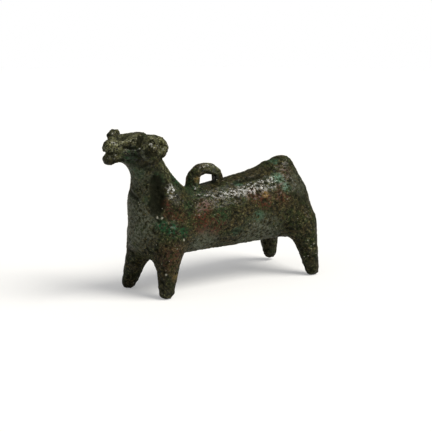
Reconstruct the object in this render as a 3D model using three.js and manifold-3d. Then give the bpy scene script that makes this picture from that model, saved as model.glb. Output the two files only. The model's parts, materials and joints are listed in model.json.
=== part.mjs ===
// A small cast bronze ram that stands on three of its four stub legs, with a hanging loop on its back.
// Millimetres, +Z up, the ram faces -X and its left side is -Y. It is one casting, so it is one solid.
//
// The ram is built as its wax was: round rods and swellings are pressed together and smoothed where they
// meet, then the rolled horns, the loop and the eyes are laid on, and the mouth is cut.

import * as THREE from "three";
import { mergeVertices } from "three/addons/utils/BufferGeometryUtils.js";
import Module from "manifold-3d";

// Body. A rod is a list of stations [x, y, z, radius].
const TRUNK_FRONT = [-22, 0, 25.3, 11.9];
const TRUNK_REAR = [24, 0, 27.5, 14.2];
const TRUNK_WIDTH = 0.95; // width of its section over its height
const RIDGE = [
  [1.5, 0, 29.3, 3.0],
  [17.5, 0, 35.2, 3.2],
  [27.8, 0, 41.6, 3.6],
];
const RIDGE_SMOOTHING = 7.5;
const RUMP_X = 37.5; // where the cut-off rump crosses RUMP_Z
const RUMP_Z = 30;
const RUMP_TILT = 12; // degrees that the rump leans forward
const RUMP_SMOOTHING = 5;
const CHEST = { x: -34.0, low: 22, high: 33, radius: 8.6 };
const CHEST_SMOOTHING = 8;
const NECK = [
  [-29.9, 0, 35.1, 8.2],
  [-35.6, 0, 47.2, 6.5],
  [-39.4, 0, 53.0, 5.8],
];
const NECK_SMOOTHING = 7;
const NAPE_DROP = 3; // how far below the poll the neck runs into the head

// Legs: where each foot stands, and where the leg grows out of the body.
const FRONT_HIP = { x: -31.6, out: 8.0, z: 21.0, radius: 5.9 };
const REAR_HIP = { x: 29.6, out: 11.0, z: 19.8, radius: 5.6 };
const FRONT_FOOT = 2.85; // radius
const REAR_FOOT = 2.75;
const FEET = [
  { x: -34.8, y: -10.8, lift: 0, radius: FRONT_FOOT, hip: FRONT_HIP },
  { x: -37.2, y: 10.6, lift: 0, radius: FRONT_FOOT, hip: FRONT_HIP },
  { x: 31.2, y: -15.1, lift: 0, radius: REAR_FOOT, hip: REAR_HIP },
  { x: 33.1, y: 13.5, lift: 1.0, radius: REAR_FOOT, hip: REAR_HIP },
];
const FOOT_WEAR = 0.45; // how much of a standing foot's round end is worn flat
const LEG_SMOOTHING = 6;

// Head, in its own frame: ahead of the poll, out from the middle to the right side, up.
const POLL = new THREE.Vector3(-41, 0, 58);
const HEAD_TURN = 5; // degrees that the face is turned to its left
const SKULL = [
  [-3.6, 0, -3.4, 4.6],
  [3.0, 0, -3.0, 4.1],
  [7.2, 0, -1.9, 2.9],
  [11.2, 0, -1.2, 2.95],
];
const JAW = [
  [2.5, 0, -4.8, 2.7],
  [9.0, 0, -5.1, 1.9],
  [11.9, 0, -5.9, 2.1],
];
const JAW_WIDTH = 1.25;
const BROW = [
  [8.6, 2.9, 0.0, 0.9],
  [2.6, 4.1, 0.4, 1.2],
];
const HEAD_SMOOTHING = 4;
const FACE_SMOOTHING = 1.6;
const EYE = { ahead: 5.4, out: 3.9, up: -0.3, radius: 1.2 };
const MOUTH = { ahead: 9.2, up: -3.55, gape: 0.75 }; // the slit runs from here out of the lips

// Horns: an oval turn behind the eye, then a small curl that stands out beside the brow.
const HORN_TURN = { ahead: -3.9, up: -2.7, long: 5.5, high: 2.8, from: 65, to: 345, out: [3.0, 8.2] };
const HORN_CURL = { ahead: 0.9, up: 0.05, radius: 1.9, from: 25, to: 290, out: [9.5, 12.6] };
const HORN_ROOT_RADIUS = 2.5;
const HORN_TIP_RADIUS = 1.15;
const HORN_BED = [
  [-3.8, 2.0, -2.8, 3.6],
  [-3.2, 5.2, -3.0, 2.6],
];

// Hanging loop on the back.
const LOOP = { x: -9.7, foot: 36.5, halfLength: 6.0, rise: 7.9, squareness: 2.6 };
const LOOP_RADII = [2.75, 2.05, 2.0]; // front foot, top, rear foot
const HOLE = { x: -9.15, z: 40.0, long: 7.3, high: 4.3, corner: 1.2 }; // through the loop, into the back

// Grid that the smooth body is read off on: fine at the head, long along the trunk.
const STEPS_X = [[-58, 1.35], [-44, 1.75], [-28, 3.0], [22, 1.9], [40, 1.9]];
const STEPS_Y = [[-19.6, 1.75], [20, 1.75]];
const STEPS_Z = [[-4, 1.85], [46, 1.3], [64, 1.3]];
const SETTLE = { probe: 0.05, passes: 2, limit: 0.4 }; // how a grid point is drawn onto the skin

// Facets of the pieces that are laid on, and the points that their curves pass through.
const HORN_FACETS = { rings: 28, sides: 8, turnPoints: 9, curlPoints: 6 };
const LOOP_FACETS = { rings: 18, sides: 10, points: 13 };
const EYE_FACETS = { around: 10, down: 8 };
const CORNER_FACETS = 3;
const GROUND = { long: 200, wide: 100, deep: 10 };
const WELD = 1e-4; // points closer than this are one point
const TINY = 1e-9;

const PATINA = new THREE.MeshStandardMaterial({ color: 0x2b2a20, roughness: 0.55, metalness: 0.55 });

const lerp = THREE.MathUtils.lerp;
const rad = THREE.MathUtils.degToRad;

/**
 * Distance to a chain of tapered rods.
 * squash is [x, y, z], the section's size on each axis over its radius.
 */
function rods(stations, squash = [1, 1, 1]) {
  const [sx, sy, sz] = squash;
  const links = stations.slice(1).map((to, i) => {
    const from = stations[i];
    const run = [to[0] - from[0], to[1] - from[1], to[2] - from[2]];
    const square = run[0] ** 2 + run[1] ** 2 + run[2] ** 2;
    return { from, to, run, square };
  });
  return (x, y, z) => {
    let best = Infinity;
    for (const { from, to, run, square } of links) {
      const dx = x - from[0];
      const dy = y - from[1];
      const dz = z - from[2];
      const along = Math.min(1, Math.max(0, (dx * run[0] + dy * run[1] + dz * run[2]) / square));
      const ox = (dx - along * run[0]) / sx;
      const oy = (dy - along * run[1]) / sy;
      const oz = (dz - along * run[2]) / sz;
      const length = Math.hypot(ox, oy, oz) + TINY;
      const slope = Math.hypot(ox / sx, oy / sy, oz / sz) / length + TINY;
      best = Math.min(best, (length - lerp(from[3], to[3], along)) / slope);
    }
    return best;
  };
}

/** Two masses pressed together, smoothed over a band of the given width. */
function press(a, b, band) {
  const overlap = Math.max(band - Math.abs(a - b), 0) / band;
  return Math.min(a, b) - (overlap * overlap * band) / 4;
}

/** The part of a mass that is left below a surface, with a rounded edge. */
function pare(a, b, band) {
  return -press(-a, -b, band);
}

/** A point of the ram's frame in the head's own frame. */
function inHead(x, y, z) {
  const c = Math.cos(rad(HEAD_TURN));
  const s = Math.sin(rad(HEAD_TURN));
  const dx = x - POLL.x;
  const dy = y - POLL.y;
  return [-dx * c - dy * s, -dx * s + dy * c, z - POLL.z];
}

/** A point of the head's own frame in the ram's frame. */
function fromHead(ahead, out, up) {
  const c = Math.cos(rad(HEAD_TURN));
  const s = Math.sin(rad(HEAD_TURN));
  return new THREE.Vector3(POLL.x - ahead * c - out * s, POLL.y - ahead * s + out * c, POLL.z + up);
}

/** The smooth body as a field: negative inside, zero on the skin. */
function bodyField() {
  const trunk = rods([TRUNK_FRONT, TRUNK_REAR], [1, TRUNK_WIDTH, 1]);
  const ridge = rods(RIDGE);
  const chest = rods([
    [CHEST.x, 0, CHEST.low, CHEST.radius],
    [CHEST.x, 0, CHEST.high, CHEST.radius],
  ]);
  const neck = rods([...NECK, [POLL.x, POLL.y, POLL.z - NAPE_DROP, NECK[2][3]]]);
  const legs = FEET.map(({ x, y, lift, radius, hip }) =>
    rods([
      [x, y, lift + radius - FOOT_WEAR, radius],
      [hip.x, Math.sign(y) * hip.out, hip.z, hip.radius],
    ]),
  );
  const skull = rods(SKULL);
  const jaw = rods(JAW, [1, JAW_WIDTH, 1]);
  const brow = rods(BROW);
  const bed = rods(HORN_BED);
  const lean = [Math.cos(rad(RUMP_TILT)), Math.sin(rad(RUMP_TILT))];

  return (x, y, z) => {
    let d = press(trunk(x, y, z), ridge(x, y, z), RIDGE_SMOOTHING);
    d = pare(d, (x - RUMP_X) * lean[0] + (z - RUMP_Z) * lean[1], RUMP_SMOOTHING);
    d = press(d, chest(x, y, z), CHEST_SMOOTHING);
    d = press(d, neck(x, y, z), NECK_SMOOTHING);
    d = press(d, Math.min(...legs.map((leg) => leg(x, y, z))), LEG_SMOOTHING);
    const [ahead, out, up] = inHead(x, y, z);
    let face = press(skull(ahead, out, up), jaw(ahead, out, up), FACE_SMOOTHING);
    face = press(face, brow(ahead, Math.abs(out), up), FACE_SMOOTHING);
    face = press(face, bed(ahead, Math.abs(out), up), FACE_SMOOTHING);
    return press(d, face, HEAD_SMOOTHING);
  };
}

/** Grid lines along one axis: from each [start, step] to the next, stretched to end on it. */
function gridLines(spans) {
  const lines = [spans[0][0]];
  spans.slice(1).forEach(([end], i) => {
    const [start, step] = spans[i];
    const count = Math.ceil((end - start) / step);
    for (let n = 1; n <= count; n++) lines.push(lerp(start, end, n / count));
  });
  return lines;
}

/** Moves a point onto the skin, along the field's slope. */
function settle(field, p) {
  const h = SETTLE.probe;
  for (let pass = 0; pass < SETTLE.passes; pass++) {
    const d = field(...p);
    const slope = [
      (field(p[0] + h, p[1], p[2]) - field(p[0] - h, p[1], p[2])) / (2 * h),
      (field(p[0], p[1] + h, p[2]) - field(p[0], p[1] - h, p[2])) / (2 * h),
      (field(p[0], p[1], p[2] + h) - field(p[0], p[1], p[2] - h)) / (2 * h),
    ];
    const square = slope[0] ** 2 + slope[1] ** 2 + slope[2] ** 2;
    const step = THREE.MathUtils.clamp(d / square, -SETTLE.limit, SETTLE.limit);
    for (let k = 0; k < 3; k++) p[k] -= step * slope[k];
  }
  return p;
}

/** The closed skin of a field: a vertex in each grid cell that it passes through, with faces between. */
function skin(field, xs, ys, zs) {
  const size = [xs.length, ys.length, zs.length];
  const at = (i, j, k) => (i * size[1] + j) * size[2] + k;
  const values = new Float64Array(size[0] * size[1] * size[2]);
  xs.forEach((x, i) => ys.forEach((y, j) => zs.forEach((z, k) => (values[at(i, j, k)] = field(x, y, z)))));

  const corners = [0, 1, 2, 3, 4, 5, 6, 7].map((c) => [c >> 2, (c >> 1) & 1, c & 1]);
  const edges = [];
  for (let a = 0; a < 8; a++)
    for (const bit of [1, 2, 4]) if (!(a & bit)) edges.push([a, a | bit]);

  const vertexOf = new Int32Array(values.length).fill(-1);
  const positions = [];
  for (let i = 0; i < size[0] - 1; i++)
    for (let j = 0; j < size[1] - 1; j++)
      for (let k = 0; k < size[2] - 1; k++) {
        const sum = [0, 0, 0];
        let hits = 0;
        for (const [a, b] of edges) {
          const [ai, aj, ak] = corners[a];
          const [bi, bj, bk] = corners[b];
          const va = values[at(i + ai, j + aj, k + ak)];
          const vb = values[at(i + bi, j + bj, k + bk)];
          if (va < 0 === vb < 0) continue;
          const t = va / (va - vb);
          sum[0] += lerp(xs[i + ai], xs[i + bi], t);
          sum[1] += lerp(ys[j + aj], ys[j + bj], t);
          sum[2] += lerp(zs[k + ak], zs[k + bk], t);
          hits++;
        }
        if (!hits) continue;
        vertexOf[at(i, j, k)] = positions.length / 3;
        positions.push(...settle(field, sum.map((s) => s / hits)));
      }

  const index = [];
  const quad = (a, b, c, d, turned) => {
    const [p, q, r, s] = [a, b, c, d].map((cell) => vertexOf[cell]);
    if (turned) index.push(p, r, q, p, s, r);
    else index.push(p, q, r, p, r, s);
  };
  for (let i = 1; i < size[0] - 1; i++)
    for (let j = 1; j < size[1] - 1; j++)
      for (let k = 1; k < size[2] - 1; k++) {
        const here = values[at(i, j, k)] < 0;
        if (here !== values[at(i + 1, j, k)] < 0)
          quad(at(i, j - 1, k - 1), at(i, j, k - 1), at(i, j, k), at(i, j - 1, k), !here);
        if (here !== values[at(i, j + 1, k)] < 0)
          quad(at(i - 1, j, k - 1), at(i - 1, j, k), at(i, j, k), at(i, j, k - 1), !here);
        if (here !== values[at(i, j, k + 1)] < 0)
          quad(at(i - 1, j - 1, k), at(i, j - 1, k), at(i, j, k), at(i - 1, j, k), !here);
      }
  return new THREE.BufferGeometry()
    .setAttribute("position", new THREE.Float32BufferAttribute(positions, 3))
    .setIndex(index);
}

/** A rolled strip of wax: a closed tube along a curve, with a radius that changes and rounded ends. */
function rolled(curve, radiusAt, { rings, sides }) {
  const frames = curve.computeFrenetFrames(rings, false);
  const positions = [];
  const index = [];
  const push = (v) => positions.push(v.x, v.y, v.z) / 3 - 1;
  const starts = [];
  for (let r = 0; r <= rings; r++) {
    const t = r / rings;
    const centre = curve.getPointAt(t);
    starts.push(positions.length / 3);
    for (let s = 0; s < sides; s++) {
      const angle = (2 * Math.PI * s) / sides;
      const offset = frames.normals[r]
        .clone()
        .multiplyScalar(Math.cos(angle) * radiusAt(t))
        .addScaledVector(frames.binormals[r], Math.sin(angle) * radiusAt(t));
      push(centre.clone().add(offset));
    }
  }
  for (let r = 0; r < rings; r++)
    for (let s = 0; s < sides; s++) {
      const next = (s + 1) % sides;
      const [a, b, c, d] = [starts[r] + s, starts[r] + next, starts[r + 1] + next, starts[r + 1] + s];
      index.push(a, b, c, a, c, d);
    }
  const reach = 0.6; // how far the rounded end stands out, over its radius
  const first = push(curve.getPointAt(0).addScaledVector(frames.tangents[0], -reach * radiusAt(0)));
  const last = push(curve.getPointAt(1).addScaledVector(frames.tangents[rings], reach * radiusAt(1)));
  for (let s = 0; s < sides; s++) {
    const next = (s + 1) % sides;
    index.push(first, starts[0] + next, starts[0] + s, last, starts[rings] + s, starts[rings] + next);
  }
  return new THREE.BufferGeometry()
    .setAttribute("position", new THREE.Float32BufferAttribute(positions, 3))
    .setIndex(index);
}

/** Points on an arc of a horn, in the ram's frame. side is 1 for the right horn and -1 for the left. */
function hornArc({ ahead, up, from, to, out }, long, high, side, count) {
  return Array.from({ length: count }, (_, n) => {
    const t = n / (count - 1);
    const angle = rad(lerp(from, to, t));
    const spread = side * lerp(out[0], out[1], t);
    return fromHead(ahead + long * Math.cos(angle), spread, up + high * Math.sin(angle));
  });
}

/** One horn, rolled thick at the root and thin at the tip. */
function horn(side) {
  const turn = hornArc(HORN_TURN, HORN_TURN.long, HORN_TURN.high, side, HORN_FACETS.turnPoints);
  const curl = hornArc(HORN_CURL, HORN_CURL.radius, HORN_CURL.radius, side, HORN_FACETS.curlPoints);
  const curve = new THREE.CatmullRomCurve3([...turn, ...curl]);
  return rolled(curve, (t) => lerp(HORN_ROOT_RADIUS, HORN_TIP_RADIUS, t), HORN_FACETS);
}

/** The hanging loop: a squarish arch in the ram's middle plane, with its feet sunk in the back. */
function hangingLoop() {
  const power = 2 / LOOP.squareness;
  const count = LOOP_FACETS.points;
  const points = Array.from({ length: count }, (_, n) => {
    const angle = (Math.PI * n) / (count - 1);
    const c = Math.cos(angle);
    const along = -Math.sign(c) * Math.abs(c) ** power * LOOP.halfLength;
    return new THREE.Vector3(LOOP.x + along, 0, LOOP.foot + Math.sin(angle) ** power * LOOP.rise);
  });
  const curve = new THREE.CatmullRomCurve3(points);
  const [front, top, rear] = LOOP_RADII;
  const radiusAt = (t) => (t < 0.5 ? lerp(front, top, 2 * t) : lerp(top, rear, 2 * t - 1));
  return rolled(curve, radiusAt, LOOP_FACETS);
}

/** The hole that a cord goes through, as a bar with rounded edges across the back. */
function loopHole() {
  const { x, z, long, high, corner } = HOLE;
  const across = 12;
  const shape = new THREE.Shape();
  const corners = [[1, -1, -90], [1, 1, 0], [-1, 1, 90], [-1, -1, 180]];
  for (const [sx, sz, start] of corners)
    shape.absarc(sx * (long / 2 - corner), sz * (high / 2 - corner), corner, rad(start), rad(start + 90));
  const options = { depth: across, bevelEnabled: false, curveSegments: CORNER_FACETS };
  return new THREE.ExtrudeGeometry(shape, options)
    .translate(0, 0, -across / 2)
    .rotateX(Math.PI / 2)
    .translate(x, 0, z);
}

/** An eye pellet. */
function eye(side) {
  const geometry = new THREE.SphereGeometry(EYE.radius, EYE_FACETS.around, EYE_FACETS.down);
  return geometry.translate(...fromHead(EYE.ahead, side * EYE.out, EYE.up).toArray());
}

/** The wedge that opens the mouth: thin at the corner of the lips and wide in front of them. */
function mouthWedge() {
  const reach = 9;
  const width = 14;
  const outline = new THREE.Shape([
    new THREE.Vector2(0, 0),
    new THREE.Vector2(reach, -MOUTH.gape),
    new THREE.Vector2(reach, MOUTH.gape),
  ]);
  const corner = fromHead(MOUTH.ahead, 0, MOUTH.up);
  return new THREE.ExtrudeGeometry(outline, { depth: width, bevelEnabled: false })
    .translate(0, 0, -width / 2)
    .rotateX(Math.PI / 2)
    .rotateZ(Math.PI + rad(HEAD_TURN))
    .translate(corner.x, corner.y, corner.z);
}

/** The ground that the standing feet are worn flat on. */
function ground() {
  return new THREE.BoxGeometry(GROUND.long, GROUND.wide, GROUND.deep).translate(0, 0, -GROUND.deep / 2);
}

const wasm = await Module();
wasm.setup();

/** A closed geometry as a solid that can be joined and cut. */
function solid(geometry) {
  const bare = geometry.clone();
  bare.deleteAttribute("normal");
  bare.deleteAttribute("uv");
  const merged = mergeVertices(bare, WELD);
  return new wasm.Manifold(
    new wasm.Mesh({
      numProp: 3,
      vertProperties: new Float32Array(merged.attributes.position.array),
      triVerts: new Uint32Array(merged.index.array),
    }),
  );
}

/** A solid back as a geometry. */
function geometryOf(manifold) {
  const { vertProperties, triVerts } = manifold.getMesh();
  const geometry = new THREE.BufferGeometry()
    .setAttribute("position", new THREE.BufferAttribute(new Float32Array(vertProperties), 3))
    .setIndex(new THREE.BufferAttribute(new Uint32Array(triVerts), 1));
  geometry.computeVertexNormals();
  return geometry;
}

let casting = solid(skin(bodyField(), gridLines(STEPS_X), gridLines(STEPS_Y), gridLines(STEPS_Z)));
for (const side of [-1, 1]) casting = casting.add(solid(horn(side))).add(solid(eye(side)));
casting = casting.add(solid(hangingLoop()));
for (const cut of [loopHole(), mouthWedge(), ground()]) casting = casting.subtract(solid(cut));

// The origin is the middle of the ram's box, at the level that it stands on.
const geometry = geometryOf(casting);
geometry.computeBoundingBox();
const centre = geometry.boundingBox.getCenter(new THREE.Vector3());
geometry.translate(-centre.x, -centre.y, -geometry.boundingBox.min.z);

const ram = new THREE.Mesh(geometry, PATINA);
ram.name = "bronze_ram";

const figure = new THREE.Group();
figure.add(ram);

export default figure;
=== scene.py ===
"""A small cast bronze ram with curled horns and a hanging loop, dark and mottled from long burial.

The solid of the frame gives the form. One piece takes its place: the same form with smooth skin, the
modelled face and horns, the pits and crusts that burial left, and the patina.

Named sizes are millimetres, and Blender's own values are metres. +Z is up, the ram faces -X and its
left side is -Y.
"""

from __future__ import annotations

import json
import logging
import math
import random
from dataclasses import dataclass, field
from enum import Enum

import bmesh
import bpy
import numpy as np
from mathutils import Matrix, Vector, kdtree, noise

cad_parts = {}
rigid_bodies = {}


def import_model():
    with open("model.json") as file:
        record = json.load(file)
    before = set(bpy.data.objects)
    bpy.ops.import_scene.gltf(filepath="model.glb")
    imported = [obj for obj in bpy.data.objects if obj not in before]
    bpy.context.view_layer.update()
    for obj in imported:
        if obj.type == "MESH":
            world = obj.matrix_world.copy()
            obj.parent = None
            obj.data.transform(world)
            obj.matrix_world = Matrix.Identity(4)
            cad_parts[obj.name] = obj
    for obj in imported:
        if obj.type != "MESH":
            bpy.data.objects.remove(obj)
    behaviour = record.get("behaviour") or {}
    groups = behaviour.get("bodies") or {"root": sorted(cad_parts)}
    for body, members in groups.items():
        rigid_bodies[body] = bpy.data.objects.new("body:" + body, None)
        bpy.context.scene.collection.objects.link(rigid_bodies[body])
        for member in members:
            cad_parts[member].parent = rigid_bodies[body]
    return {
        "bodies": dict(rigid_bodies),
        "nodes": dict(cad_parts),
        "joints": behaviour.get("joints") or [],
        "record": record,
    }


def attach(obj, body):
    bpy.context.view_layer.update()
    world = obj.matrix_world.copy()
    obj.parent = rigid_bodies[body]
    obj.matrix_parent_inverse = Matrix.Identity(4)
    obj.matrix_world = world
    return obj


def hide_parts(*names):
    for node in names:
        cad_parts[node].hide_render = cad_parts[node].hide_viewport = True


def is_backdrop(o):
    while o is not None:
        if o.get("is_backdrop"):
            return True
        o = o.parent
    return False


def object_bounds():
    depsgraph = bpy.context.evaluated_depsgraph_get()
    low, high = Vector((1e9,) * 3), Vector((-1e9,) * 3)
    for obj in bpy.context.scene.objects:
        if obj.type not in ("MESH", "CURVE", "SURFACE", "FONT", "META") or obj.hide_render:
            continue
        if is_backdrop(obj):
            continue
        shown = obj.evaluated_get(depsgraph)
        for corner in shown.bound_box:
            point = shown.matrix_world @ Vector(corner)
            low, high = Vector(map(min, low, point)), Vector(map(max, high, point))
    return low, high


LOG = logging.getLogger("ram")
MM = 0.001
NODE = "bronze_ram"
TINY = 1e-9

Point = tuple[float, float, float]
Colour = tuple[float, float, float]

WHITE: Colour = (1.0, 1.0, 1.0)
DARK: Colour = (0.008, 0.009, 0.003)
CHALK: Colour = (0.580, 0.560, 0.460)

# Share of a stain's reach over which it keeps its full strength.
CORE = 1.0 / 3.0
# How far past side-on the skin may be turned and still take a stroke that faces one way.
FACING_BLEND = 0.35
# Way in which the noise of one wave is set apart from another's.
NOISE_WAY = (1.0, 1.7, -0.6)

# Ways that a stroke can face: the first in the head's frame, the others in the ram's.
OUTWARD: Point = (0.0, 1.0, 0.0)
REARWARD: Point = (1.0, 0.0, 0.0)
UPWARD: Point = (0.0, 0.0, 1.0)
DOWNWARD: Point = (0.0, 0.0, -1.0)


def metres(point: Point) -> Vector:
    """A point in millimetres as a vector in metres."""
    return Vector(point) * MM


def towards(azimuth: float, elevation: float) -> Vector:
    """Direction from the ram to something seen at an azimuth and elevation in degrees."""
    a, e = math.radians(azimuth), math.radians(elevation)
    return Vector((math.sin(a) * math.cos(e), -math.cos(a) * math.cos(e), math.sin(e)))


def smoothstep(values: np.ndarray) -> np.ndarray:
    """Zero below 0, one above 1 and a soft S between."""
    t = np.clip(values, 0.0, 1.0)
    return t * t * (3.0 - 2.0 * t)


class Mask(Enum):
    """Painted layers of the skin, each an attribute of its mesh that the patina reads."""

    OLIVE = "olive"
    GREY = "grey"
    GREEN = "green"
    TURQUOISE = "turquoise"
    CUPRITE = "cuprite"
    OCHRE = "ochre"
    SHADE = "shade"
    CHALK = "chalk"
    HOLLOW = "hollow"
    POLISH = "polish"


@dataclass(frozen=True)
class Shot:
    """The camera: where it looks, from which side and how long its lens is."""

    target: Point = (13.54, 12.26, 22.04)
    azimuth: float = -36.63
    elevation: float = 12.26
    distance: float = 600.0
    lens: float = 128.0
    sensor: float = 36.0
    nearest: float = 10.0
    farthest: float = 20000.0

    def build(self) -> bpy.types.Object:
        """Makes the camera and hands it to the scene.

        Returns:
            The camera object.
        """
        data = bpy.data.cameras.new("shot")
        data.lens = self.lens
        data.sensor_width = self.sensor
        data.clip_start, data.clip_end = self.nearest * MM, self.farthest * MM
        camera = bpy.data.objects.new("shot", data)
        back = towards(self.azimuth, self.elevation)
        camera.location = metres(self.target) + back * self.distance * MM
        camera.rotation_mode = "QUATERNION"
        camera.rotation_quaternion = (-back).to_track_quat("-Z", "Y")
        bpy.context.scene.collection.objects.link(camera)
        bpy.context.scene.camera = camera
        return camera


@dataclass(frozen=True)
class Lamp:
    """One far, soft light."""

    name: str
    azimuth: float
    elevation: float
    spread: float
    strength: float
    colour: Colour = WHITE

    def build(self) -> bpy.types.Object:
        """Makes the light, aimed at the ram from its own side.

        Returns:
            The light object.
        """
        data = bpy.data.lights.new(self.name, "SUN")
        data.angle = math.radians(self.spread)
        data.energy = self.strength
        data.color = self.colour
        lamp = bpy.data.objects.new(self.name, data)
        lamp.rotation_mode = "QUATERNION"
        lamp.rotation_quaternion = (-towards(self.azimuth, self.elevation)).to_track_quat("-Z", "Y")
        bpy.context.scene.collection.objects.link(lamp)
        return lamp


@dataclass(frozen=True)
class FloorPaper:
    """Matt white paper, a little brighter to the camera, so that it runs into the white backdrop."""

    colour: Colour = (0.72, 0.72, 0.72)
    roughness: float = 0.9
    specular: float = 0.1
    glow: float = 0.29

    def build(self) -> bpy.types.Material:
        """Makes the paper's material.

        Returns:
            The material.
        """
        material = bpy.data.materials.new("floor_paper")
        material.use_nodes = True
        tree = material.node_tree
        shader = tree.nodes["Principled BSDF"]
        shader.inputs["Base Color"].default_value = (*self.colour, 1.0)
        shader.inputs["Roughness"].default_value = self.roughness
        shader.inputs["Specular IOR Level"].default_value = self.specular
        shader.inputs["Emission Color"].default_value = (*WHITE, 1.0)
        glow = tree.nodes.new("ShaderNodeMath")
        glow.operation = "MULTIPLY"
        glow.inputs[1].default_value = self.glow
        path = tree.nodes.new("ShaderNodeLightPath")
        tree.links.new(path.outputs["Is Camera Ray"], glow.inputs[0])
        tree.links.new(glow.outputs["Value"], shader.inputs["Emission Strength"])
        return material


@dataclass(frozen=True)
class Studio:
    """A pale floor, a soft lamp from the right, one overhead, and the room's even light."""

    floor_radius: float = 700.0
    floor_sides: int = 96
    paper: FloorPaper = FloorPaper()
    room: float = 0.20
    backdrop: float = 1.0
    lamps: tuple[Lamp, ...] = (
        Lamp("key", azimuth=36.0, elevation=52.0, spread=38.0, strength=2.95, colour=(1.0, 0.97, 0.90)),
        Lamp("overhead", azimuth=-20.0, elevation=80.0, spread=90.0, strength=0.45),
    )

    def build(self) -> None:
        """Lays the floor, hangs the lamps and lights the room."""
        bpy.context.scene.view_settings.view_transform = "Standard"
        for lamp in self.lamps:
            lamp.build()
        self._floor()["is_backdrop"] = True
        self._room()

    def _floor(self) -> bpy.types.Object:
        """Lays a round sheet at the level that the feet stand on.

        Returns:
            The floor object.
        """
        bm = bmesh.new()
        bmesh.ops.create_circle(
            bm, cap_ends=True, segments=self.floor_sides, radius=self.floor_radius * MM
        )
        mesh = bpy.data.meshes.new("floor")
        bm.to_mesh(mesh)
        bm.free()
        mesh.materials.append(self.paper.build())
        floor = bpy.data.objects.new("floor", mesh)
        bpy.context.scene.collection.objects.link(floor)
        return floor

    def _room(self) -> None:
        """Lights the room evenly, with a white backdrop where the camera sees past the floor."""
        world = bpy.data.worlds.new("room")
        bpy.context.scene.world = world
        world.use_nodes = True
        tree = world.node_tree
        light = tree.nodes["Background"]
        backdrop = tree.nodes.new("ShaderNodeBackground")
        for node, strength in ((light, self.room), (backdrop, self.backdrop)):
            node.inputs["Strength"].default_value = strength
            node.inputs["Color"].default_value = (*WHITE, 1.0)
        path = tree.nodes.new("ShaderNodeLightPath")
        mix = tree.nodes.new("ShaderNodeMixShader")
        tree.links.new(path.outputs["Is Camera Ray"], mix.inputs["Fac"])
        tree.links.new(light.outputs["Background"], mix.inputs[1])
        tree.links.new(backdrop.outputs["Background"], mix.inputs[2])
        tree.links.new(mix.outputs["Shader"], tree.nodes["World Output"].inputs["Surface"])


class Side(Enum):
    """Which side of the head a stroke is on."""

    LEFT = -1
    BOTH = 0
    RIGHT = 1


@dataclass(frozen=True)
class Stroke:
    """A mark of the modeller's tool: a line that is raised, or cut in where its height is negative.

    Where it lies on a thin part, facing keeps it to the skin that faces that way.
    """

    path: tuple[Point, ...]
    width: float
    height: float
    side: Side = Side.BOTH
    facing: Point | None = None


@dataclass(frozen=True)
class Wave:
    """Soft noise in the skin: how wide and high its lumps are, and how far its noise is set apart."""

    size: float
    height: float
    apart: float


@dataclass(frozen=True)
class HeadFrame:
    """The head's own frame: ahead of the poll, out from the middle to the right side, and up."""

    poll: Point = (-31.97, 0.61, 58.0)
    turn: float = 5.0

    def of(self, points: np.ndarray) -> np.ndarray:
        """Points of the ram's frame in the head's."""
        return self.turned(points - np.array(self.poll))

    def turned(self, directions: np.ndarray) -> np.ndarray:
        """Turns directions of the ram's frame into the head's.

        Args:
            directions: one to a row.

        Returns:
            The same directions, ahead, out and up.
        """
        c, s = math.cos(math.radians(self.turn)), math.sin(math.radians(self.turn))
        x, y, z = directions.T
        return np.stack([-x * c - y * s, -x * s + y * c, z], axis=1)


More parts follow.
